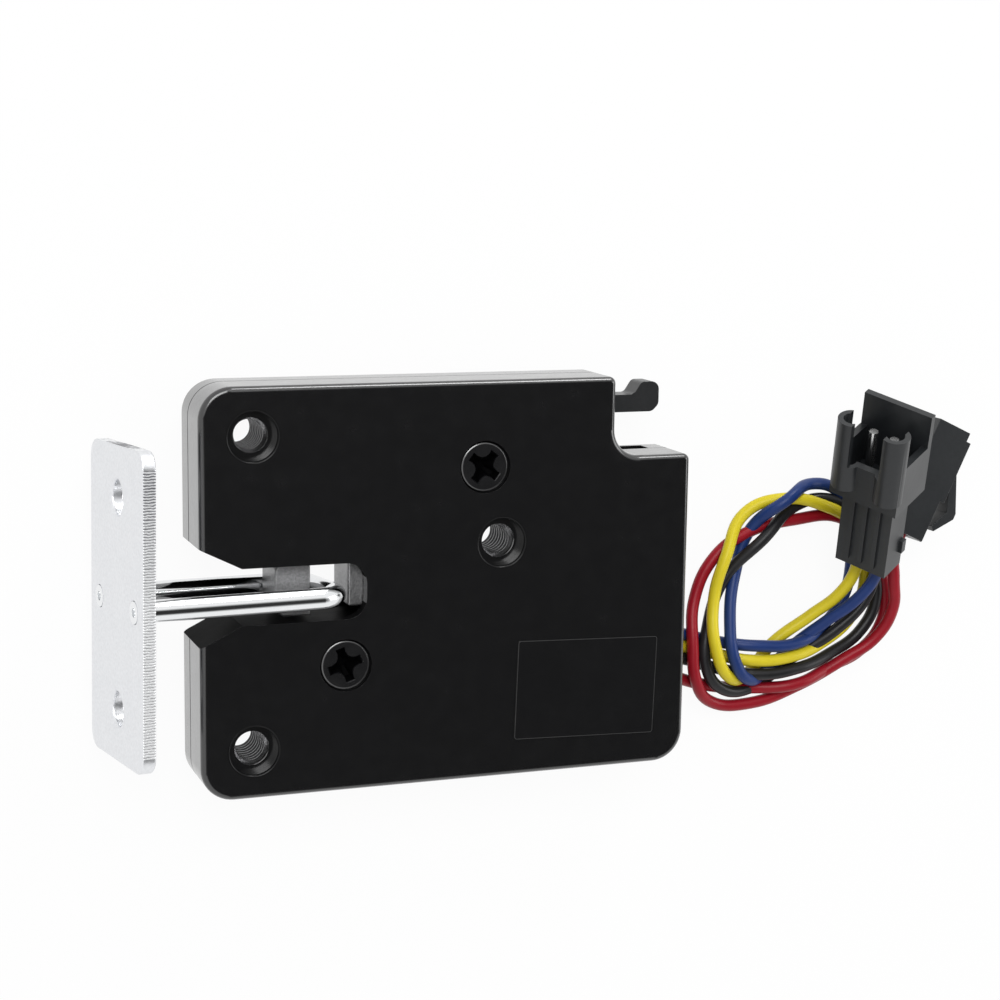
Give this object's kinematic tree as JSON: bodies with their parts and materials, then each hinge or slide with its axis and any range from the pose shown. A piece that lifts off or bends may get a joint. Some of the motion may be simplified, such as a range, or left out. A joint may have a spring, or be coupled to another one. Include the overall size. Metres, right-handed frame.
{
  "type": "electric cabinet lock",
  "caption": "Flat black electric lock with a fork latch holding a riveted U shackle strike, a hooked manual release lever and a four-wire cable ending in two plugs.",
  "frame": {"origin": "axis of the middle threaded hole, on the housing's back face", "axes": "+X from the strike towards the cable side, +Y towards the release lever, +Z out of the front cover"},
  "size_m": [0.0987, 0.042, 0.0198],
  "materials": {
    "shell": "die-cast zinc, satin black coating",
    "screw": "blackened steel",
    "fork": "sintered steel, polished edges",
    "lever": "blackened steel",
    "steel": "ground steel",
    "spring": "spring wire",
    "zinc_plate": "bright zinc plating",
    "rod": "polished plating",
    "bobbin": "moulded nylon",
    "copper": "enamelled copper wire",
    "switch_body": "moulded plastic",
    "contact": "tin plated",
    "rubber": "matt",
    "label": "black film, blank",
    "wire_red": "insulation",
    "wire_black": "insulation",
    "wire_yellow": "insulation",
    "wire_blue": "insulation",
    "connector": "moulded nylon"
  },
  "bodies": {
    "lock_body": {"back_shell": "shell", "front_shell": "shell", "cover_screw_upper": "screw", "cover_screw_lower": "screw", "fork_pivot_pin": "steel", "fork_spring": "spring", "lever_pivot_pin": "steel", "solenoid_yoke": "zinc_plate", "coil_bobbin": "bobbin", "coil_winding": "copper", "solenoid_core": "zinc_plate", "plunger_spring": "spring", "signal_switch": "switch_body", "switch_terminals": "contact", "wire_grommet": "rubber", "rating_label": "label", "wire_red": "wire_red", "wire_black": "wire_black", "wire_yellow": "wire_yellow", "wire_blue": "wire_blue", "pin_housing": "connector", "header_pins": "contact", "socket_housing": "connector", "socket_contacts": "contact"},
    "fork": {"latch_fork": "fork"},
    "lever": {"release_lever": "lever"},
    "plunger_body": {"plunger": "steel", "plunger_link_pin": "steel"},
    "strike": {"strike_plate": "zinc_plate", "strike_shackle": "rod"},
    "button": {"switch_button": "bobbin"}
  },
  "joints": [
    {"name": "latch_fork", "type": "hinge", "parent": "lock_body", "child": "fork", "pos_m": [-0.01655, 0.0035, 0.0042], "axis": [0, 0, -1], "range_deg": [0, 48]},
    {"name": "release_lever", "type": "hinge", "parent": "lock_body", "child": "lever", "pos_m": [0.00125, 0.0131, 0.0042], "axis": [0, 0, -1], "range_deg": [0, 12], "stiffness_Nm_per_rad": 0.02},
    {"name": "strike_slide", "type": "slide", "parent": "lock_body", "child": "strike", "axis": [-1, 0, 0], "range_m": [0, 0.00788]},
    {"name": "plunger_slide", "type": "slide", "parent": "lock_body", "child": "plunger_body", "axis": [0, -1, 0], "range_m": [0, 0.00178]},
    {"name": "switch_button", "type": "slide", "parent": "lock_body", "child": "button", "axis": [-1, 0, 0], "range_m": [0, 0.00081]}
  ],
  "couplings": [
    {"joint": "release_lever", "follows": "latch_fork", "ratio": 0.25},
    {"joint": "strike_slide", "follows": "latch_fork", "m_per_rad": 0.009394},
    {"joint": "plunger_slide", "follows": "latch_fork", "m_per_rad": 0.0021},
    {"joint": "switch_button", "follows": "latch_fork", "m_per_rad": 0.00095}
  ]
}
